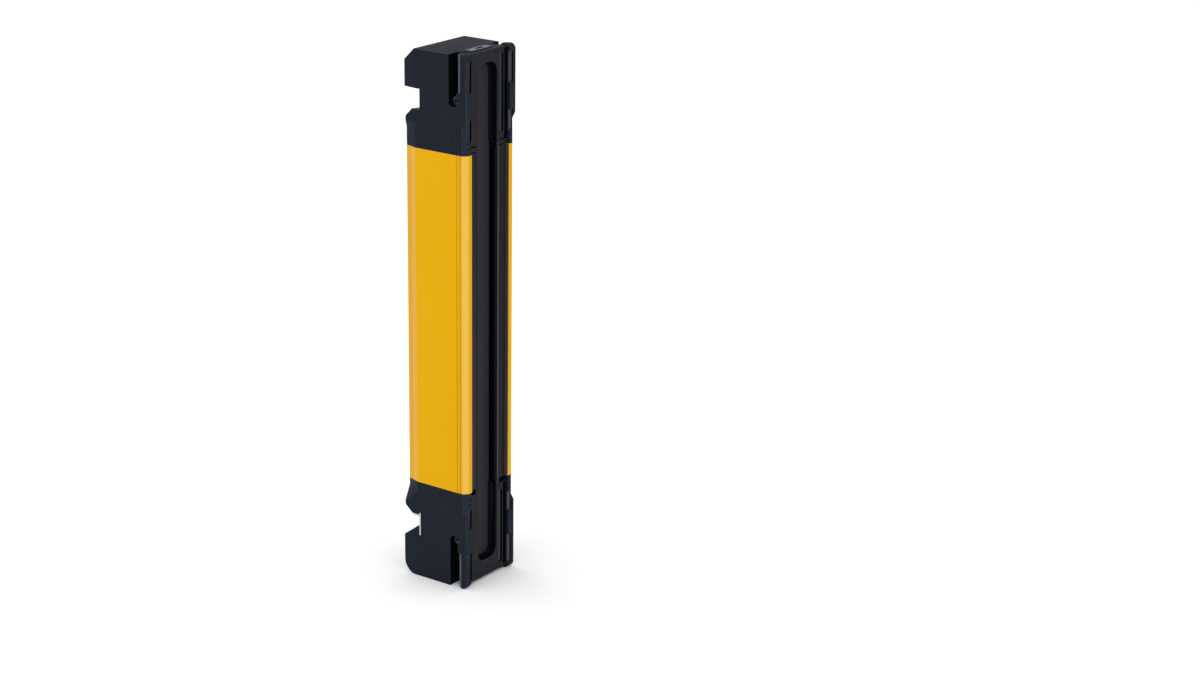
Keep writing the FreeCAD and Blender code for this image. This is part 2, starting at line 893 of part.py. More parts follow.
def top_cap():
    taper_low = housing_high + jaw_taper_low
    taper_high = housing_high + jaw_taper_high
    top_face = bar_length - pad_height
    middle_half = housing_half()[:4] + [(half_w - back_corner_inset, back)]
    body = join([
        prism(whole(housing_half()), housing_high, taper_low),
        section_change(middle_half, taper_low, jaw_half(), taper_high),
        prism(whole(jaw_half()), taper_high, notch_low),
        prism(whole(plain_half(notch_floor_y)), notch_low, block_low),
        prism(whole(block_half()), block_low, top_face),
    ])
    cutters = top_jaw_cutters() + top_block_cutters(top_face)
    cutters += side_grooves(housing_high - overrun, TOP.inward(TOP.wing_length))
    additions = [notch_column(), top_pad(top_face)] + wing_corners(TOP) + both(wing_top(top_face))
    body = join([body.cut(cutters)] + additions)
    pad_y = land_y + pad_centre_y
    pad_window = box(-pad_window_width / 2, pad_window_width / 2, pad_y - pad_window_depth / 2,
                     pad_y + pad_window_depth / 2, bar_length - pad_window_recess, bar_length + overrun)
    tools = cap_front_cutters(TOP) + cap_side_slots(TOP)
    tools += [cap_cavity(TOP), indicator_recess(TOP), pad_window, gasket(TOP, gasket_gap)]
    return join([body.cut(tools)] + cap_pegs(TOP))


def top_jaw_cutters():
    """Chamfered and saddled top of the jaw, the slot through it and the seats of its screws."""
    wide = half_w + overrun
    high = notch_low + sliver
    slope = jaw_chamfer_z / jaw_chamfer_y
    chamfer = [
        (back - jaw_chamfer_y, notch_low),
        (back + overrun, notch_low - jaw_chamfer_z - slope * overrun),
        (back + overrun, high),
        (back - jaw_chamfer_y, high),
    ]
    cutters = [side_prism(chamfer, -wide, wide)]
    saddle = [V(x, notch_floor_y, z) for x, z in (
        (slot_inner_half - sliver, high), (wide, high), (half_w, notch_low - jaw_saddle_edge),
        (slot_inner_half - sliver, notch_low - jaw_saddle))]
    cutters += both(Part.Face(Part.makePolygon(saddle + saddle[:1])).extrude(V(0, notch_depth + overrun, 0)))
    low = housing_high - overrun
    cutters.append(box(-slot_inner_half, slot_inner_half, back - slot_depth, back + overrun, low, high))
    seat = notch_low - jaw_screw_seat
    for x in (jaw_screw_offset, -jaw_screw_offset):
        cutters.append(cylinder(jaw_screw_radius + jaw_screw_room, (x, jaw_screw_y, seat), (0, 0, 1),
                                jaw_screw_seat + sliver))
        cutters.append(cylinder(jaw_screw_shank_radius, (x, jaw_screw_y, seat - jaw_screw_shank), (0, 0, 1),
                                jaw_screw_shank))
    return cutters


def top_block_cutters(top_face):
    """Slope at the back of the screwed block, its screw holes and the pockets below it."""
    slope = block_chamfer_z / block_chamfer_y
    slope_start = block_back_y - block_chamfer_y
    cut_back = [
        (slope_start, top_face),
        (slope_start, top_face + overrun),
        (block_back_y + overrun, top_face + overrun),
        (block_back_y + overrun, top_face - block_chamfer_z - slope * overrun),
    ]
    cutters = [side_prism(cut_back, -half_w - overrun, half_w + overrun)]
    for x, distance in top_block_screws_at:
        cutters.append(block_screw_hole(x, block_back_y, TOP.inward(distance)))
    pocket_x1 = half_w - notch_pocket_edge
    pocket_x0 = pocket_x1 - notch_pocket_width
    pocket_z0 = (notch_low + block_low - notch_pocket_height) / 2
    pocket_z1 = pocket_z0 + notch_pocket_height
    pocket_y = notch_floor_y - notch_pocket_depth
    cutters += both(box(pocket_x0, pocket_x1, pocket_y, notch_floor_y + overrun, pocket_z0, pocket_z1))
    return cutters


def notch_column():
    """Slightly bulging middle of the notch's floor."""
    column_y = notch_floor_y + notch_column_rise - notch_column_radius
    column = cylinder(notch_column_radius, (0, column_y, notch_low), (0, 0, 1), notch_height)
    return column.common(box(-half_w, half_w, notch_floor_y - overrun, back, notch_low, block_low))


def top_pad(top_face):
    pad_y = land_y + pad_centre_y
    x0 = pad_centre_x - pad_width / 2
    y0 = pad_y - pad_depth / 2
    return box(x0, x0 + pad_width, y0, y0 + pad_depth, top_face - pad_sink, bar_length)


def wing_top(top_face):
    """Block that carries a wing up to the full length of the bar."""
    return box(wing_inner_half, half_w, front, side_slot_y0, top_face - pad_sink, bar_length)


def jaw_screws():
    screws = []
    seat = notch_low - jaw_screw_seat
    for x in (jaw_screw_offset, -jaw_screw_offset):
        head = cylinder(jaw_screw_radius, (x, jaw_screw_y, seat), (0, 0, 1), jaw_screw_head)
        shank_start = (x, jaw_screw_y, seat - jaw_screw_shank)
        shank = cylinder(jaw_screw_shank_radius, shank_start, (0, 0, 1), jaw_screw_shank)
        head_top = seat + jaw_screw_head
        drive = hex_socket(x, jaw_screw_y, head_top, (0, 0, 1), small_hex_across, small_hex_depth)
        screws.append(head.fuse(shank).cut(drive))
    return group(screws)


# Bottom cap

def bottom_cap():
    straight = housing_low - low_jaw_straight
    taper = housing_low - low_jaw_taper
    body = join([
        prism(whole(housing_half()), straight, housing_low),
        section_change(low_jaw_half(), taper, housing_half(), straight),
        prism(whole(low_jaw_half()), low_jaw_bottom, taper),
        prism(whole(plain_half(low_notch_floor_y)), low_block_top, low_jaw_bottom),
        prism(whole(plain_half(back)), 0, low_block_top),
    ])
    cutters = low_jaw_cutters() + low_block_cutters() + connector_cutters() + [plate_blank()]
    cutters += side_grooves(BOTTOM.inward(BOTTOM.wing_length), housing_low + overrun)
    body = join([body.cut(cutters)] + wing_corners(BOTTOM))
    tools = cap_front_cutters(BOTTOM) + cap_side_slots(BOTTOM)
    tools += [cap_cavity(BOTTOM), indicator_recess(BOTTOM), gasket(BOTTOM, gasket_gap)]
    below_panel = (front - overrun, side_slot_y0, -overrun, front_panel_lift)
    tools.append(box(-wing_inner_half, wing_inner_half, *below_panel))
    return join([body.cut(tools)] + cap_pegs(BOTTOM))


def low_jaw_cutters():
    """Chamfered underside of the lower jaw and the slot through it."""
    wide = half_w + overrun
    slope = low_jaw_chamfer_z / low_jaw_chamfer_y
    low = low_jaw_bottom - sliver
    chamfer = [
        (back - low_jaw_chamfer_y, low_jaw_bottom),
        (back - low_jaw_chamfer_y, low),
        (back + overrun, low),
        (back + overrun, low_jaw_bottom + low_jaw_chamfer_z + slope * overrun),
    ]
    above = housing_low + overrun
    slot = box(-slot_inner_half, slot_inner_half, back - slot_depth, back + overrun, low, above)
    return [side_prism(chamfer, -wide, wide), slot]


def low_block_cutters():
    """Sloping top and round heel of the lower block, its screw holes and the cable's way out."""
    wide = half_w + overrun
    slope = low_block_slope_z / low_block_slope_y
    slope_start = back - low_block_slope_y
    top = low_block_top + sliver
    cut_top = [
        (slope_start, low_block_top),
        (slope_start, top),
        (back + overrun, top),
        (back + overrun, low_block_top - low_block_slope_z - slope * overrun),
    ]
    cutters = [side_prism(cut_top, -wide, wide)]
    corner = box(-wide, wide, back - low_block_round, back + overrun, -overrun, low_block_round)
    roll = cylinder(low_block_round, (-wide, back - low_block_round, low_block_round), (1, 0, 0), 2 * wide)
    cutters.append(corner.cut(roll))
    for x, distance in bottom_block_screws_at:
        cutters.append(block_screw_hole(x, back, BOTTOM.inward(distance)))
    cutters.append(box(foot_pocket_low_x, foot_pocket_high_x, back - foot_pocket_depth, back + overrun,
                       -overrun, foot_pocket_height))
    cutters.append(cylinder(foot_hole_radius, (foot_hole_x, back - foot_hole_depth, foot_hole_z), (0, 1, 0),
                            foot_hole_depth + overrun))
    return cutters


def connector_cutters():
    """Room for the connector in the notch and for its root through the cap's wall."""
    x0 = connector_low_x - 2 * overrun
    x1 = connector_high_x + 2 * overrun
    room = cylinder(ring_radius + connector_gap, (x0, connector_y, connector_z), (1, 0, 0), x1 - x0)
    play = connector_gap / 3
    root = box(root_low_x - play, root_high_x + play, cavity_back - overrun, back,
               connector_z - root_half_height - play, connector_z + root_half_height + play)
    return [room, root]


# Earth plate and connector

def plate_blank():
    """Upright leg of the bent plate, sunk at both edges into the cap."""
    return box(-half_w, half_w, low_notch_floor_y, low_notch_floor_y + plate_thickness,
               low_block_top - plate_embed_low, low_jaw_bottom + plate_embed_high)


def earth_plate():
    upright = plate_blank()
    leg_y0 = low_notch_floor_y
    leg_y1 = low_notch_floor_y + plate_thickness + plate_leg
    leg = box(-half_w, half_w, leg_y0, leg_y1, low_jaw_bottom - plate_thickness, low_jaw_bottom)
    gap = connector_gap
    opening = box(root_low_x - gap, root_high_x + gap, leg_y0 - overrun, leg_y0 + plate_thickness + overrun,
                  connector_z - root_half_height - gap, connector_z + root_half_height + gap)
    ring_room = cylinder(ring_radius + gap, (ring_low_x - gap, connector_y, connector_z), (1, 0, 0),
                         ring_high_x - ring_low_x + 2 * gap)
    tube_room = cylinder(connector_radius + gap, (connector_low_x - gap, connector_y, connector_z), (1, 0, 0),
                         connector_high_x - connector_low_x + 2 * gap)
    return join([upright, leg]).cut([opening, ring_room, tube_room])


def connector_socket():
    tube = cylinder(connector_radius, (connector_low_x, connector_y, connector_z), (1, 0, 0),
                    connector_high_x - connector_low_x)
    root = box(root_low_x, root_high_x, cavity_back, connector_y,
               connector_z - root_half_height, connector_z + root_half_height)
    inner_x = insert_x()[1]
    bore = cylinder(connector_bore, (connector_low_x - overrun, connector_y, connector_z), (1, 0, 0),
                    inner_x - connector_low_x + overrun)
    return join([tube, root]).cut(bore)


def connector_ring():
    """Toothed grip ring on the tube."""
    points = []
    for i in range(ring_teeth * 2):
        radius = ring_radius if i % 2 == 0 else ring_radius - ring_tooth_depth
        a = math.pi * i / ring_teeth
        points.append((connector_y + radius * math.cos(a), connector_z + radius * math.sin(a)))
    ring = side_prism(points, ring_low_x, ring_high_x)
    hole = cylinder(connector_radius, (ring_low_x - overrun, connector_y, connector_z), (1, 0, 0),
                    ring_high_x - ring_low_x + 2 * overrun)
    return ring.cut(hole)


def insert_x():
    """Faces of the connector insert along X."""
    inner = connector_low_x + pin_recess + pin_length + insert_depth
    return inner - insert_depth, inner


def square_pins(x0, x1):
    """One square bar along X for each contact: four on a circle and one in the middle."""
    places = [(0.0, 0.0)]
    for i in range(pin_count - 1):
        a = math.radians(45 + 360 * i / (pin_count - 1))
        places.append((pin_circle * math.cos(a), pin_circle * math.sin(a)))
    bars = []
    for dy, dz in places:
        y = connector_y + dy
        z = connector_z + dz
        bars.append(box(x0, x1, y - pin_half, y + pin_half, z - pin_half, z + pin_half))
    return bars


def connector_insert():
    x0, x1 = insert_x()
    body = cylinder(connector_bore, (x0, connector_y, connector_z), (1, 0, 0), x1 - x0)
    return body.cut(square_pins(x0 - overrun, x0 + insert_depth / 2))


def contact_pins():
    x0 = insert_x()[0]
    return group(square_pins(x0 - pin_length, x0 + insert_depth / 2))


def board_link():
    return box(root_low_x, root_high_x, board_back, cavity_back,
               connector_z - root_half_height, connector_z + root_half_height)


TOP = CapEnd(housing_high, bar_length, top_wing_length, top_side_slot_length, 0.0, top_slits, top_dots)
BOTTOM = CapEnd(housing_low, 0.0, bottom_wing_length, bottom_side_slot_length, front_panel_lift, bottom_slits,
                bottom_dots)

os.makedirs("parts", exist_ok=True)

save("housing", housing_section(housing_low, housing_high))
strip = window_strip(housing_low, housing_high)
save("window_strip_right", strip)
save("window_strip_left", mirror_x(strip))
save("front_window", front_window())
seal = window_seal(housing_low, housing_high)
save("window_seal_right", seal)
save("window_seal_left", mirror_x(seal))
save("top_cap", top_cap())
save("bottom_cap", bottom_cap())
save("top_gasket", gasket(TOP))
save("bottom_gasket", gasket(BOTTOM))
save("block_screws", block_screws())
save("slot_screws", group(slot_screw_pair(TOP) + slot_screw_pair(BOTTOM)))
save("jaw_screws", jaw_screws())
save("indicator_lens_top", indicator_lens_piece(TOP))
save("indicator_lens_bottom", indicator_lens_piece(BOTTOM))
save("indicator_leds", indicator_leds())
save("aperture_strip", aperture_strip())
save("lens_bar", lens_bar())
save("optics_carrier", optics_carrier())
save("main_board", main_board())
save("photodiodes", photodiodes())
save("board_chips", board_chips())
save("board_link", board_link())
save("earth_plate", earth_plate())
save("connector_socket", connector_socket())
save("connector_ring", connector_ring())
save("connector_insert", connector_insert())
save("contact_pins", contact_pins())
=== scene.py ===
import math

import bmesh
import bpy
from mathutils import Matrix, Vector


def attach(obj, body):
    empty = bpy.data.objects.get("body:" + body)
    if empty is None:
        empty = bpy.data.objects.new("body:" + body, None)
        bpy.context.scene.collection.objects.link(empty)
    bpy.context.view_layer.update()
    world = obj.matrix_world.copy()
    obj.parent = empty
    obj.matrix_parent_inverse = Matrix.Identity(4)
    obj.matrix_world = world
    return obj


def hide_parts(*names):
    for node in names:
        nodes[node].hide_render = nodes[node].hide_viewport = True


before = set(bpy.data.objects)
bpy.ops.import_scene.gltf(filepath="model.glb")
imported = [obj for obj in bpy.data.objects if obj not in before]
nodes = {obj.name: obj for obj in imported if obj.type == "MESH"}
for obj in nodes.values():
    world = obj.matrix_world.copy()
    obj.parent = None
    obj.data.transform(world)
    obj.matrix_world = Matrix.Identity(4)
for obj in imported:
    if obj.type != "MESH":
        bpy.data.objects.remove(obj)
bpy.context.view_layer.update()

# The scene is in metres. Places and widths on the bar are written in millimetres.
MM = 0.001

# Shader node groups


def new_group(name, inputs, outputs):
    """An empty node group with named sockets: (name, kind, default) in and (name, kind) out."""
    tree = bpy.data.node_groups.new(name, "ShaderNodeTree")
    for label, kind, value in inputs:
        socket = tree.interface.new_socket(label, in_out="INPUT", socket_type=kind)
        socket.default_value = value
    for label, kind in outputs:
        tree.interface.new_socket(label, in_out="OUTPUT", socket_type=kind)
    return tree, tree.nodes.new("NodeGroupInput"), tree.nodes.new("NodeGroupOutput")


def add(tree, kind, **values):
    """A new node with the given properties."""
    node = tree.nodes.new(kind)
    for key, value in values.items():
        setattr(node, key, value)
    return node


def feed(tree, socket, value):
    """Set a socket to a plain value, or link another node's output to it."""
    if isinstance(value, (int, float, tuple)):
        socket.default_value = value
    else:
        tree.links.new(value, socket)


def math_node(tree, operation, a, b, clamp=False):
    """Output of a sum, difference or product, kept between 0 and 1 if clamp is set."""
    node = add(tree, "ShaderNodeMath", operation=operation, use_clamp=clamp)
    feed(tree, node.inputs[0], a)
    feed(tree, node.inputs[1], b)
    return node.outputs[0]


def noise(tree, vector, scale, detail, roughness):
    """Output of a noise pattern, about 0.5 in the mean."""
    node = add(tree, "ShaderNodeTexNoise")
    for label, value in (("Vector", vector), ("Scale", scale), ("Detail", detail), ("Roughness", roughness)):
        feed(tree, node.inputs[label], value)
    return node.outputs[0]


def map_range(tree, value, given, wanted):
    """The value, stretched from the given range to the wanted one."""
    node = add(tree, "ShaderNodeMapRange")
    for label, part in zip(("Value", "From Min", "From Max", "To Min", "To Max"), (value, *given, *wanted)):
        feed(tree, node.inputs[label], part)
    return node.outputs[0]


def mix_color(tree, factor, a, b):
    """Colour a where the factor is 0, colour b where it is 1."""
    node = add(tree, "ShaderNodeMix", data_type="RGBA")
    # The node has sockets for every kind of value: 0 is the factor, 6 and 7 take the colours, 2 puts one out
    for i, value in ((0, factor), (6, a), (7, b)):
        feed(tree, node.inputs[i], value)
    return node.outputs[2]


def make_edge_group():
    """Mask that is bright along outer edges, broken up by noise: it marks worn edges and painted edge
    highlights.
    """
    tree, inside, outside = new_group(
        "edge_wear_and_highlight",
        [("Radius", "NodeSocketFloat", 0.0005), ("Amount", "NodeSocketFloat", 0.5)],
        [("Mask", "NodeSocketFloat")],
    )
    bevel = add(tree, "ShaderNodeBevel", samples=4)
    tree.links.new(inside.outputs["Radius"], bevel.inputs["Radius"])
    geometry = add(tree, "ShaderNodeNewGeometry")
    dot = add(tree, "ShaderNodeVectorMath", operation="DOT_PRODUCT")
    tree.links.new(bevel.outputs[0], dot.inputs[0])
    tree.links.new(geometry.outputs["Normal"], dot.inputs[1])
    edge = map_range(tree, dot.outputs["Value"], given=(0.99, 0.86), wanted=(0.0, 1.0))
    coords = add(tree, "ShaderNodeTexCoord")
    breakup = noise(tree, coords.outputs["Object"], scale=420.0, detail=3.0, roughness=0.6)
    broken = map_range(tree, breakup, given=(0.35, 0.62), wanted=(0.15, 1.0))
    mask = math_node(tree, "MULTIPLY", edge, broken)
    mask = math_node(tree, "MULTIPLY", mask, inside.outputs["Amount"], clamp=True)
    tree.links.new(mask, outside.inputs["Mask"])
    return tree


def make_surface_group():
    """Tone drift, roughness drift and a fine height for moulded, painted and rolled surfaces."""
    tree, inside, outside = new_group(
        "surface_drift",
        [
            ("Color", "NodeSocketColor", (0.5, 0.5, 0.5, 1.0)),
            ("Tint", "NodeSocketColor", (0.5, 0.5, 0.5, 1.0)),
            ("Drift", "NodeSocketFloat", 0.3),
            ("Roughness", "NodeSocketFloat", 0.4),
            ("Roughness Spread", "NodeSocketFloat", 0.08),
            ("Drift Scale", "NodeSocketFloat", 30.0),
            ("Grain Scale", "NodeSocketFloat", 2500.0),
            ("Stretch", "NodeSocketVector", (1.0, 1.0, 1.0)),
        ],
        [("Color", "NodeSocketColor"), ("Roughness", "NodeSocketFloat"), ("Height", "NodeSocketFloat")],
    )
    coords = add(tree, "ShaderNodeTexCoord")
    stretch = add(tree, "ShaderNodeVectorMath", operation="MULTIPLY")
    tree.links.new(coords.outputs["Object"], stretch.inputs[0])
    tree.links.new(inside.outputs["Stretch"], stretch.inputs[1])
    slow = noise(tree, stretch.outputs[0], inside.outputs["Drift Scale"], detail=3.0, roughness=0.55)
    fast = noise(tree, stretch.outputs[0], inside.outputs["Grain Scale"], detail=2.0, roughness=0.6)
    patches = map_range(tree, slow, given=(0.3, 0.7), wanted=(0.0, 1.0))
    amount = math_node(tree, "MULTIPLY", patches, inside.outputs["Drift"], clamp=True)
    color = mix_color(tree, amount, inside.outputs["Color"], inside.outputs["Tint"])
    tree.links.new(color, outside.inputs["Color"])
    rough = inside.outputs["Roughness"]
    for pattern in (slow, fast):
        swing = math_node(tree, "SUBTRACT", pattern, 0.5)
        swing = math_node(tree, "MULTIPLY", swing, inside.outputs["Roughness Spread"])
        rough = math_node(tree, "ADD", rough, swing, clamp=True)
    tree.links.new(rough, outside.inputs["Roughness"])
    tree.links.new(fast, outside.inputs["Height"])
    return tree


EDGE = make_edge_group()
SURFACE = make_surface_group()

# Materials


def linear(r, g, b):
    """Screen colour, 0 to 255, as the shader's own linear colour."""
    def one(v):
        v = v / 255
        return v / 12.92 if v <= 0.04045 else ((v + 0.055) / 1.055) ** 2.4
    return (one(r), one(g), one(b), 1.0)


# How much lighter and smoother a fully marked edge is than the surface beside it; the lighter tone is partly
# wear and partly painted highlight. The factor and the lift count where the material names no colour for its
# edges.
WEAR_AND_HIGHLIGHT_FACTOR = 1.6
WEAR_AND_HIGHLIGHT_LIFT = 0.03
WORN_GLOSS = 0.1


def lighter(color):
    """Tone of an edge, partly wear and partly painted highlight, where the material names none."""
    return tuple(min(1.0, WEAR_AND_HIGHLIGHT_FACTOR * part + WEAR_AND_HIGHLIGHT_LIFT) for part in color[:3]) + (1.0,)


def finish_material(name, color, tint, roughness, *, drift, spread, drift_scale, grain_scale, bump, wear_and_highlight,
                    bump_depth=0.05, wear_and_highlight_radius=0.4, wear_and_highlight_color=None, stretch=(1.0, 1.0, 1.0),
                    metallic=0.0, specular=0.5, coat=0.0):
    """Principled surface whose colour, roughness, height and lighter edges (partly wear, partly painted
    highlight) come from the shared groups.

    The colour drifts towards the tint and the roughness swings by the spread. The depth of the bumps and the
    radius of the edge wear and highlight are in millimetres.
    """
    material = bpy.data.materials.new(name)
    material.use_nodes = True
    tree = material.node_tree
    shader = tree.nodes["Principled BSDF"]
    surface = add(tree, "ShaderNodeGroup", node_tree=SURFACE)
    for label, value in (("Color", color), ("Tint", tint), ("Drift", drift), ("Roughness", roughness),
                         ("Roughness Spread", spread), ("Drift Scale", drift_scale),
                         ("Grain Scale", grain_scale), ("Stretch", stretch)):
        surface.inputs[label].default_value = value
    edge = add(tree, "ShaderNodeGroup", node_tree=EDGE)
    edge.inputs["Radius"].default_value = wear_and_highlight_radius * MM
    edge.inputs["Amount"].default_value = wear_and_highlight
    # Lighter edges: partly wear, partly painted highlight
    edge_tone = mix_color(tree, edge.outputs["Mask"], surface.outputs["Color"], wear_and_highlight_color or lighter(color))
    tree.links.new(edge_tone, shader.inputs["Base Color"])
    gloss = math_node(tree, "MULTIPLY", edge.outputs["Mask"], WORN_GLOSS)
    rough = math_node(tree, "SUBTRACT", surface.outputs["Roughness"], gloss, clamp=True)
    tree.links.new(rough, shader.inputs["Roughness"])
    height = add(tree, "ShaderNodeBump")
    height.inputs["Strength"].default_value = bump
    height.inputs["Distance"].default_value = bump_depth * MM
    tree.links.new(surface.outputs["Height"], height.inputs["Height"])
    tree.links.new(height.outputs[0], shader.inputs["Normal"])
    shader.inputs["Metallic"].default_value = metallic
    shader.inputs["Specular IOR Level"].default_value = specular
    shader.inputs["Coat Weight"].default_value = coat
    shader.inputs["Coat Roughness"].default_value = 0.1
    return material


# Values that several materials share
# The edge colours of these sets are partly wear and partly painted highlight
YELLOW = dict(
    drift=0.35, spread=0.08, drift_scale=22.0, grain_scale=1500.0, bump=0.14, bump_depth=0.06,
    wear_and_highlight=0.35, wear_and_highlight_color=linear(250, 218, 124))
MOULDED = dict(
    drift=0.5, spread=0.12, drift_scale=45.0, grain_scale=3600.0, bump=0.2,
    wear_and_highlight=0.45, wear_and_highlight_color=linear(81, 86, 98))
SMOOTH = dict(
    drift=0.5, spread=0.08, drift_scale=60.0, grain_scale=2400.0, bump=0.06,
    wear_and_highlight=0.4, wear_and_highlight_radius=0.3)
DRAWN = dict(
    drift=0.5, drift_scale=40.0, grain_scale=1800.0, stretch=(1.0, 1.0, 0.2))

POWDER = finish_material(
    "yellow_powder_coat", linear(218, 163, 7), linear(213, 158, 4), 0.42, specular=0.04, **YELLOW)
# Darker yellow in the fine grooves along the sides: painted shade in the grooves
POWDER_GROOVE_PAINTED_SHADE = finish_material(
    "yellow_powder_groove_painted_shade", linear(204, 146, 7), linear(197, 140, 4), 0.45, specular=0.025, **YELLOW)
# Lighter, paler yellow on the sloping edge of the front lips: a painted sheen
POWDER_LIP_PAINTED_SHEEN = finish_material(
    "yellow_powder_lip_painted_sheen", linear(226, 180, 73), linear(222, 175, 65), 0.36, specular=0.11, **YELLOW)
# Darker, paler copy of the yellow on the flat back corners: a painted reflection
POWDER_CORNER_PAINTED_REFLECTION = finish_material(
    "yellow_powder_corner_painted_reflection", linear(208, 155, 19), linear(202, 150, 15), 0.4, specular=0.072, **YELLOW)
# Lighter, paler yellow on the front half of the back corners: a painted highlight
POWDER_CORNER_PAINTED_HIGHLIGHT = finish_material(
    "yellow_powder_corner_painted_highlight", linear(215, 164, 70), linear(210, 159, 63), 0.36, specular=0.08, **YELLOW)
# Darker, browner yellow inside the rear slot: painted shade
POWDER_SLOT_PAINTED_SHADE = finish_material(
    "yellow_powder_slot_painted_shade", linear(168, 108, 27), linear(160, 102, 25), 0.5, specular=0.025, **YELLOW)
CAP = finish_material(
    "moulded_cap", linear(25, 30, 39), linear(30, 36, 46), 0.42, specular=0.04, **MOULDED)
# Lighter copy of the cap colour on its front corner chamfers: a painted sheen
CAP_CHAMFER_PAINTED_SHEEN = finish_material(
    "moulded_cap_chamfer_painted_sheen", linear(32, 37, 47), linear(37, 43, 53), 0.36, specular=0.072,
    drift=0.5, spread=0.1, drift_scale=45.0, grain_scale=3600.0, bump=0.14,
    wear_and_highlight=0.4, wear_and_highlight_color=linear(88, 92, 104), wear_and_highlight_radius=0.3)
# Darker copy of the cap colour on the upward faces: painted shade for how the light falls on the top
CAP_TOP_PAINTED_SHADE = finish_material(
    "moulded_cap_top_painted_shade", linear(23, 25, 35), linear(28, 31, 41), 0.5, specular=0.03, **MOULDED)
PANEL = finish_material(
    "cap_front_panel", linear(28, 28, 34), linear(34, 34, 39), 0.38, specular=0.055,
    drift=0.5, spread=0.1, drift_scale=40.0, grain_scale=2600.0, bump=0.14,
    wear_and_highlight=0.5, wear_and_highlight_color=linear(88, 90, 100), wear_and_highlight_radius=0.3)
# Near-black on the insides of grooves, slits, slots and steps and on the channel's foot: painted shade in
# the recesses
PAINTED_SHADE = finish_material(
    "recess_painted_shade", linear(10, 12, 16), linear(13, 15, 20), 0.55, specular=0.025,
    drift=0.5, spread=0.1, drift_scale=60.0, grain_scale=3200.0, bump=0.12,
    wear_and_highlight=0.2, wear_and_highlight_color=linear(42, 44, 52), wear_and_highlight_radius=0.3)
# Near-black on the channel's sloping rim and its fine groove: painted shade
RIM_PAINTED_SHADE = finish_material(
    "channel_rim_painted_shade", linear(7, 9, 13), linear(11, 13, 18), 0.3, specular=0.072,
    spread=0.08, bump=0.05, wear_and_highlight=0.2, wear_and_highlight_color=linear(52, 54, 63), wear_and_highlight_radius=0.2, **DRAWN)
# Light grey on the narrow lands and upstands beside the rim, the ridge and the steps' floors: painted
# highlight
NARROW_PAINTED_HIGHLIGHT = finish_material(
    "narrow_face_painted_highlight", linear(61, 61, 65), linear(69, 69, 73), 0.32, specular=0.08,
    spread=0.08, bump=0.05, wear_and_highlight=0.3, wear_and_highlight_color=linear(90, 90, 98), wear_and_highlight_radius=0.2, **DRAWN)
# Near-black on the steep walls of the window channel: painted shade
CHANNEL_PAINTED_SHADE = finish_material(
    "channel_wall_painted_shade", linear(8, 8, 9), linear(12, 11, 13), 0.2, specular=0.072,
    spread=0.06, bump=0.04, wear_and_highlight=0.4, wear_and_highlight_color=linear(73, 73, 81), wear_and_highlight_radius=0.3, **DRAWN)
# Light blue-grey on the bevelled front edge of the bracket slots: a painted highlight
BEVEL_PAINTED_HIGHLIGHT = finish_material(
    "slot_bevel_painted_highlight", linear(83, 89, 103), linear(90, 95, 109), 0.3, specular=0.11,
    wear_and_highlight_color=linear(108, 112, 127), **SMOOTH)
PAD = finish_material(
    "smooth_pad", linear(63, 67, 80), linear(71, 75, 89), 0.3, specular=0.12,
    wear_and_highlight_color=linear(100, 104, 117), **SMOOTH)
STRIP = finish_material(
    "black_strip", linear(30, 28, 32), linear(35, 33, 37), 0.36, specular=0.055,
    drift=0.5, spread=0.1, drift_scale=30.0, grain_scale=1800.0, stretch=(1.0, 1.0, 0.15), bump=0.12,
    wear_and_highlight=0.35, wear_and_highlight_color=linear(94, 94, 102), wear_and_highlight_radius=0.3)
# Grey much lighter than the glossy black window: painted light, standing in for its reflection of the white
# surroundings and offsetting the shade in the deep channel
WINDOW_PAINTED_LIGHT = finish_material(
    "window_painted_light", linear(46, 45, 50), linear(51, 49, 55), 0.36, specular=0.03,
    drift=0.4, spread=0.06, drift_scale=18.0, grain_scale=900.0, bump=0.03, wear_and_highlight=0.0)
SMOKED = finish_material(
    "smoked_lens", linear(16, 15, 17), linear(24, 22, 25), 0.16, specular=0.15, coat=0.15,
    drift=0.4, spread=0.06, drift_scale=60.0, grain_scale=1200.0, bump=0.04, wear_and_highlight=0.2)
RUBBER = finish_material(
    "seal_rubber", linear(22, 22, 23), linear(30, 30, 31), 0.78, specular=0.072,
    drift=0.5, spread=0.12, drift_scale=120.0, grain_scale=4200.0, bump=0.3, wear_and_highlight=0.1)
STEEL = finish_material(
    "plated_screw", linear(150, 150, 153), linear(122, 122, 126), 0.34, metallic=1.0,
    drift=0.6, spread=0.16, drift_scale=300.0, grain_scale=5200.0, bump=0.12,
    wear_and_highlight=0.35, wear_and_highlight_color=linear(214, 214, 218), wear_and_highlight_radius=0.15)
BLACK_SCREW = finish_material(
    "blackened_screw", linear(40, 41, 44), linear(58, 59, 62), 0.36, metallic=0.6,
    drift=0.6, spread=0.14, drift_scale=300.0, grain_scale=5200.0, bump=0.14,
    wear_and_highlight=0.4, wear_and_highlight_color=linear(120, 120, 124), wear_and_highlight_radius=0.15)
PLATE = finish_material(
    "rolled_plate", linear(198, 200, 204), linear(170, 173, 178), 0.26, metallic=1.0,
    drift=0.6, spread=0.16, drift_scale=70.0, grain_scale=2600.0, stretch=(0.12, 1.0, 1.0), bump=0.16,
    wear_and_highlight=0.3, wear_and_highlight_color=linear(236, 238, 240), wear_and_highlight_radius=0.2)
CONNECTOR = finish_material(
    "connector_black", linear(26, 26, 28), linear(34, 34, 37), 0.4,
    drift=0.5, spread=0.1, drift_scale=160.0, grain_scale=3600.0, bump=0.16,
    wear_and_highlight=0.35, wear_and_highlight_color=linear(86, 86, 90), wear_and_highlight_radius=0.2)
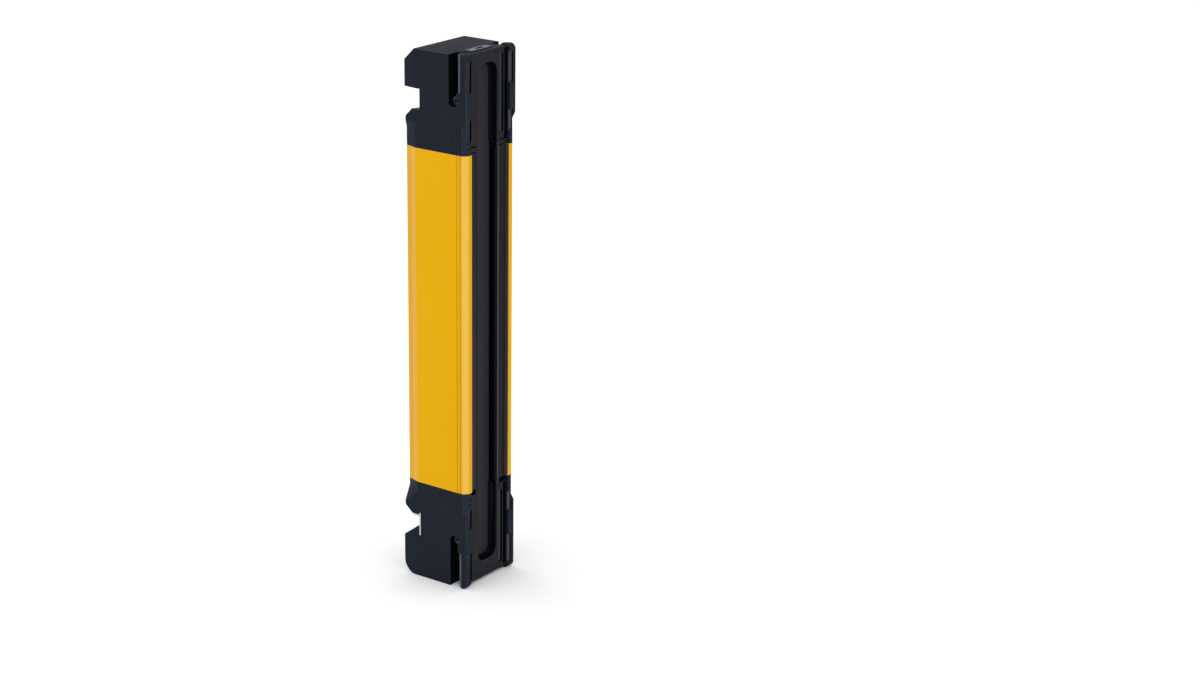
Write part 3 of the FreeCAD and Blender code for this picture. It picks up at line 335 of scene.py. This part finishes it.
INSERT = finish_material(
    "connector_insert_grey", linear(58, 58, 60), linear(70, 70, 72), 0.5,
    drift=0.4, spread=0.08, drift_scale=300.0, grain_scale=4200.0, bump=0.12, wear_and_highlight=0.2)
GOLD = finish_material(
    "plated_pin", linear(226, 188, 108), linear(206, 164, 84), 0.24, metallic=1.0,
    drift=0.5, spread=0.12, drift_scale=500.0, grain_scale=6000.0, bump=0.08,
    wear_and_highlight=0.2, wear_and_highlight_radius=0.1)
BOARD = finish_material(
    "solder_mask", linear(24, 92, 54), linear(18, 74, 44), 0.36, coat=0.2,
    drift=0.5, spread=0.1, drift_scale=90.0, grain_scale=2400.0, bump=0.14,
    wear_and_highlight=0.3, wear_and_highlight_color=linear(150, 140, 90))
DIODE = finish_material(
    "diode_black", linear(20, 18, 26), linear(30, 26, 38), 0.12, coat=0.4,
    drift=0.5, spread=0.05, drift_scale=400.0, grain_scale=5000.0, bump=0.04, wear_and_highlight=0.2)
CHIP = finish_material(
    "chip_black", linear(28, 28, 29), linear(38, 38, 40), 0.6,
    drift=0.5, spread=0.1, drift_scale=260.0, grain_scale=5200.0, bump=0.3, wear_and_highlight=0.2)
LED = finish_material(
    "led_body", linear(226, 224, 206), linear(240, 234, 190), 0.3,
    drift=0.5, spread=0.08, drift_scale=500.0, grain_scale=5200.0, bump=0.08, wear_and_highlight=0.1)
FILM = finish_material(
    "aperture_film", linear(14, 14, 15), linear(22, 22, 24), 0.66,
    drift=0.5, spread=0.1, drift_scale=60.0, grain_scale=3000.0, bump=0.12, wear_and_highlight=0.1)
LINK = finish_material(
    "link_body", linear(206, 200, 184), linear(188, 182, 164), 0.5,
    drift=0.5, spread=0.1, drift_scale=200.0, grain_scale=3600.0, bump=0.16, wear_and_highlight=0.2)


def clear_material():
    """Moulded acrylic of the lens bar."""
    material = finish_material(
        "clear_acrylic", linear(232, 238, 240), linear(214, 224, 230), 0.08,
        drift=0.4, spread=0.03, drift_scale=40.0, grain_scale=800.0, bump=0.02, wear_and_highlight=0.0)
    shader = material.node_tree.nodes["Principled BSDF"]
    shader.inputs["Transmission Weight"].default_value = 0.9
    shader.inputs["IOR"].default_value = 1.49
    return material


CLEAR = clear_material()

NODE_MATERIALS = {
    "housing": POWDER,
    "front_window": WINDOW_PAINTED_LIGHT,
    "window_strip_left": STRIP,
    "window_strip_right": STRIP,
    "window_seal_left": RUBBER,
    "window_seal_right": RUBBER,
    "top_cap": CAP,
    "bottom_cap": CAP,
    "top_gasket": RUBBER,
    "bottom_gasket": RUBBER,
    "block_screws": BLACK_SCREW,
    "slot_screws": BLACK_SCREW,
    "jaw_screws": STEEL,
    "earth_plate": PLATE,
    "connector_socket": CONNECTOR,
    "connector_ring": CONNECTOR,
    "connector_insert": INSERT,
    "contact_pins": GOLD,
    "indicator_lens_top": SMOKED,
    "indicator_lens_bottom": SMOKED,
    "indicator_leds": LED,
    "lens_bar": CLEAR,
    "aperture_strip": FILM,
    "optics_carrier": FILM,
    "main_board": BOARD,
    "photodiodes": DIODE,
    "board_chips": CHIP,
    "board_link": LINK,
}
for name, material in NODE_MATERIALS.items():
    mesh = nodes[name].data
    mesh.materials.clear()
    mesh.materials.append(material)

# Zones of the bar whose faces have a material of their own, most of them painted shade or painted highlight


def over(low):
    """A span without an upper end."""
    return (low, math.inf)


def under(high):
    """A span without a lower end."""
    return (-math.inf, high)


def zone(**spans):
    """A test of a face: each measure that is named has to lie in its span.

    Of the face's centre, in millimetres: x, across (its distance from the middle), depth and height.
    Of its normal: side (how much it faces left or right), back (below 0 it faces the front), facing
    (to the front or back), top, and upright, the sum of side and facing.
    """
    def test(center, normal):
        measures = {
            "x": center.x,
            "across": abs(center.x),
            "depth": center.y,
            "height": center.z,
            "side": abs(normal.x),
            "back": normal.y,
            "facing": abs(normal.y),
            "top": normal.z,
            "upright": abs(normal.x) + abs(normal.y),
        }
        return all(low < measures[name] < high for name, (low, high) in spans.items())
    return test


def either(*tests):
    """A test that passes where one of the given tests does."""
    return lambda center, normal: any(test(center, normal) for test in tests)


def both(*tests):
    """A test that passes where all of the given tests do."""
    return lambda center, normal: all(test(center, normal) for test in tests)


# Depths at which long faces are parted: the level of the front panels, and halfway across the flat back
# corners of the housing, where their painted highlight ends
PANEL_LEVEL = -15.9
CORNER_SPLIT = 12.8

# Steep walls of the window channel and its ends in the caps, up to the rib beside the housing
in_channel = both(
    zone(across=under(6.61), depth=(-15.6, -11.7), facing=under(0.25)),
    either(zone(across=over(6.02)), zone(height=under(14)), zone(height=over(229))))
# Sloping foot of the channel's wall, along the window
on_foot = zone(across=under(6.2), depth=(-13.1, -11.7), facing=(0.25, 0.95))
# Sloping rim of the channel
on_rim = zone(across=(6.2, 6.95), depth=(-15.9, -14.7), facing=(0.25, 0.95))
# Narrow land between the right rim and its fine groove, and the strips' upstands
beside_rim = either(
    zone(x=(6.9, 8.05), depth=under(-15.8)),
    zone(across=(12.4, 12.9), depth=under(-15.95)))
# Fine groove beside the rim
in_rim_groove = zone(across=(7.95, 8.45), depth=(-15.85, -15.6))
# Flat front of a cap
on_panel = zone(across=under(13.3), depth=(-16.0, -15.8), back=under(-0.9))
# Cross slits where the front panels meet the housing
in_slit = both(
    zone(across=(8.3, 13.5), depth=(-15.88, -13.8)),
    either(zone(height=(196.9, 200.2)), zone(height=(42.4, 45.2))))
# Walls and floors of the grooves beside the wings and of the indicator's recess
in_groove = both(
    zone(depth=(-15.9, -13.3)),
    either(zone(facing=under(0.25)), zone(depth=over(-13.5))),
    either(zone(across=(11.2, 13.45)), zone(x=(8.1, 10.9))))
# Inside of the bracket slots
in_side_slot = both(
    zone(across=(11.2, 17.2), depth=(-12.7, -8.3), upright=over(0.5)),
    either(zone(height=under(24.5)), zone(height=over(217))))
# Bevelled front edge of the bracket slots
on_slot_bevel = zone(across=over(15.9), depth=(-14.7, -12.5), side=(0.7, 0.95), back=over(0.4))
# Narrow ridge beside the indicator, and the floors of the right wing's shallow steps
on_ridge = either(
    zone(x=(10.75, 11.35), depth=(-16.0, -15.8), back=under(-0.9)),
    zone(x=(13.3, 15.7), depth=(-16.7, -16.5), back=under(-0.9)))
# Walls of the wings' shallow steps
on_step_wall = zone(across=(15.5, 15.7), depth=under(-16.5), side=over(0.9))
# Front corners of a cap beside the housing, where the wings have run out
on_cap_chamfer = zone(across=over(15.0), depth=under(-15.0), side=over(0.5), back=under(-0.5))
# Top of the bar, and the raised pad on it
on_top = zone(height=over(238), top=over(0.9))
on_pad = zone(x=(-9.0, 7.0), depth=(-14.0, -9.0), height=over(239.9), top=over(0.9))
# Inner wall of a wing, along the front panel
on_wing_wall = zone(across=(13.3, 13.5), side=over(0.9))
# Sloping edge of the housing's front lips
on_lip = zone(side=over(0.5), back=under(-0.5))
# Flat back corners of the housing, and their front half beside the yellow side
on_corner = zone(depth=over(9.0), side=over(0.8), back=over(0.2))
on_corner_front = both(on_corner, zone(depth=under(CORNER_SPLIT)))
# Slot in the back of the housing, and the fine grooves along its sides
in_rear_slot = zone(across=under(6.1), depth=(11.2, 17.3))
in_side_groove = zone(across=(16.7, 17.24), depth=(-14.7, -12.1), facing=over(0.3))

# Where the zones of one piece overlap, the later one counts
# All but the front panel and the pad get painted shade or painted highlight
CAP_FACES = (
    (PANEL, on_panel),
    (PAINTED_SHADE, in_groove),
    (CHANNEL_PAINTED_SHADE, in_channel),
    (PAINTED_SHADE, on_foot),
    (PAINTED_SHADE, in_side_slot),
    (PAINTED_SHADE, in_slit),
    (BEVEL_PAINTED_HIGHLIGHT, on_slot_bevel),
    (NARROW_PAINTED_HIGHLIGHT, on_ridge),
    (PAINTED_SHADE, on_step_wall),
    (CAP_CHAMFER_PAINTED_SHEEN, on_cap_chamfer),
    (CAP_TOP_PAINTED_SHADE, on_top),
    (PAD, on_pad),
)
# All of these faces get painted shade or painted highlight
STRIP_FACES = (
    (CHANNEL_PAINTED_SHADE, in_channel),
    (RIM_PAINTED_SHADE, on_rim),
    (NARROW_PAINTED_HIGHLIGHT, beside_rim),
    (RIM_PAINTED_SHADE, in_rim_groove),
)
# Each of these faces gets painted light: sheen on the lips, reflection and highlight on the back corners,
# shade in the grooves and the rear slot
HOUSING_FACES = (
    (POWDER_LIP_PAINTED_SHEEN, on_lip),
    (POWDER_CORNER_PAINTED_REFLECTION, on_corner),
    (POWDER_CORNER_PAINTED_HIGHLIGHT, on_corner_front),
    (POWDER_GROOVE_PAINTED_SHADE, in_side_groove),
    (POWDER_SLOT_PAINTED_SHADE, in_rear_slot),
)

# Pieces with rounded edges in place of the sharp ones: the width of the edges in millimetres, the zone
# that is parted at a depth, and the zones with a material of their own
SOFT_PIECES = (
    ("top_cap", 0.28, (on_wing_wall, PANEL_LEVEL), CAP_FACES),
    ("bottom_cap", 0.28, (on_wing_wall, PANEL_LEVEL), CAP_FACES),
    ("housing", 0.2, (on_corner, CORNER_SPLIT), HOUSING_FACES),
    ("window_strip_left", 0.18, None, STRIP_FACES),
    ("window_strip_right", 0.18, None, STRIP_FACES),
    ("earth_plate", 0.08, None, ()),
)
# Vertices nearer than this, in millimetres, become one
MERGE_DISTANCE = 0.002
# Vertices nearer to a cut than this, in millimetres, count as lying on it
CUT_DISTANCE = 0.0001
# Faces that meet flatter than this become one
FLAT_ANGLE = math.radians(0.6)
# Edges sharper than this are rounded
SHARP_ANGLE = math.radians(28.0)


def split(bm, test, depth):
    """An edge across the faces that pass a test, at one depth."""
    faces = [face for face in bm.faces if test(face.calc_center_median() / MM, face.normal)]
    edges = {edge for face in faces for edge in face.edges}
    verts = {vert for face in faces for vert in face.verts}
    bmesh.ops.bisect_plane(
        bm, geom=[*faces, *edges, *verts], dist=CUT_DISTANCE * MM, plane_co=(0, depth * MM, 0),
        plane_no=(0, 1, 0))


def assign(mesh, material, test):
    """Material for the faces that pass a test."""
    mesh.materials.append(material)
    for face in mesh.polygons:
        if test(face.center / MM, face.normal):
            face.material_index = len(mesh.materials) - 1


def soften(name, width, parted, zones):
    """A merged copy of a node's mesh with small rounded edges, shown in its place."""
    mesh = nodes[name].data.copy()
    mesh.name = name + "_soft"
    bm = bmesh.new()
    bm.from_mesh(mesh)
    bmesh.ops.remove_doubles(bm, verts=bm.verts, dist=MERGE_DISTANCE * MM)
    bmesh.ops.dissolve_limit(bm, angle_limit=FLAT_ANGLE, verts=bm.verts, edges=bm.edges)
    if parted:
        split(bm, *parted)
    bm.to_mesh(mesh)
    bm.free()
    for material, test in zones:
        assign(mesh, material, test)
    mesh.polygons.foreach_set("use_smooth", [True] * len(mesh.polygons))
    mesh.set_sharp_from_angle(angle=SHARP_ANGLE)
    piece = bpy.data.objects.new(name + "_soft", mesh)
    bpy.context.scene.collection.objects.link(piece)
    bevel = piece.modifiers.new("edges", "BEVEL")
    bevel.width = width * MM
    bevel.segments = 2
    bevel.limit_method = "ANGLE"
    bevel.angle_limit = SHARP_ANGLE
    bevel.harden_normals = True
    bevel.miter_outer = "MITER_ARC"
    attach(piece, "root")
    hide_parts(name)


for piece_row in SOFT_PIECES:
    soften(*piece_row)

# Floor and light, in metres and watts

FLOOR_RADIUS = 6.0
FLOOR_TONES = ((0.985, 0.985, 0.985, 1.0), (0.97, 0.97, 0.97, 1.0))
WORLD_STRENGTH = 1.04
# Name, place, height of the point above the origin that it aims at, side length and power of each lamp
LAMPS = (
    ("left_softbox", (-1.5, 0.25, 0.9), 0.12, 0.8, 1.6),
    ("back_softbox", (0.3, 1.9, 0.55), 0.12, 1.0, 3.5),
    ("front_softbox", (-1.0, -1.5, 0.45), 0.12, 0.6, 1.6),
    ("top_softbox", (-0.1, 0.2, 1.6), 0.1, 0.9, 2.0),
)


def floor_material():
    """Matt white that drifts a little in tone."""
    material = bpy.data.materials.new("studio_floor")
    material.use_nodes = True
    tree = material.node_tree
    shader = tree.nodes["Principled BSDF"]
    coords = add(tree, "ShaderNodeTexCoord")
    drift = noise(tree, coords.outputs["Object"], scale=3.0, detail=2.0, roughness=0.5)
    tree.links.new(mix_color(tree, drift, *FLOOR_TONES), shader.inputs["Base Color"])
    shader.inputs["Roughness"].default_value = 0.9
    shader.inputs["Specular IOR Level"].default_value = 0.0
    return material


def make_floor():
    """A round white floor under the foot of the bar."""
    bm = bmesh.new()
    bmesh.ops.create_circle(bm, cap_ends=True, segments=96, radius=FLOOR_RADIUS)
    mesh = bpy.data.meshes.new("studio_floor")
    bm.to_mesh(mesh)
    bm.free()
    mesh.materials.append(floor_material())
    floor = bpy.data.objects.new("studio_floor", mesh)
    bpy.context.scene.collection.objects.link(floor)


def make_world():
    """White surroundings, the same for the camera, for the light and in every reflection."""
    world = bpy.data.worlds.new("studio")
    world.use_nodes = True
    background = world.node_tree.nodes["Background"]
    background.inputs["Color"].default_value = (1.0, 1.0, 1.0, 1.0)
    background.inputs["Strength"].default_value = WORLD_STRENGTH
    bpy.context.scene.world = world


def look_at(place, aim):
    """Turn of a lamp or camera at one point that looks at another."""
    return (Vector(aim) - Vector(place)).to_track_quat("-Z", "Y")


def area_light(name, place, aim_height, size, power):
    """A square white lamp."""
    data = bpy.data.lights.new(name, "AREA")
    data.shape = "RECTANGLE"
    data.size = size
    data.size_y = size
    data.energy = power
    light = bpy.data.objects.new(name, data)
    bpy.context.scene.collection.objects.link(light)
    light.location = place
    light.rotation_euler = look_at(place, (0, 0, aim_height)).to_euler()


make_floor()
make_world()
for lamp in LAMPS:
    area_light(*lamp)

# Camera: place and aim in metres, roll in degrees, lens and sensor in millimetres, as fitted to the photo

CAMERA_PLACE = (-0.82391, -0.651482, 0.455915)
CAMERA_AIM = (0.034584, -0.05123, 0.111269)
CAMERA_ROLL = 0.9034
CAMERA_LENS = 75.63
CAMERA_SENSOR = 36.0


def make_camera():
    """The camera of the main view."""
    data = bpy.data.cameras.new("camera")
    data.sensor_width = CAMERA_SENSOR
    data.lens = CAMERA_LENS
    data.clip_start = 0.02
    data.clip_end = 30.0
    camera = bpy.data.objects.new("camera", data)
    bpy.context.scene.collection.objects.link(camera)
    turn = look_at(CAMERA_PLACE, CAMERA_AIM).to_matrix().to_4x4()
    roll = Matrix.Rotation(math.radians(CAMERA_ROLL), 4, "Z")
    camera.matrix_world = Matrix.Translation(Vector(CAMERA_PLACE)) @ turn @ roll
    bpy.context.scene.camera = camera


make_camera()
bpy.context.scene.view_settings.view_transform = "Standard"
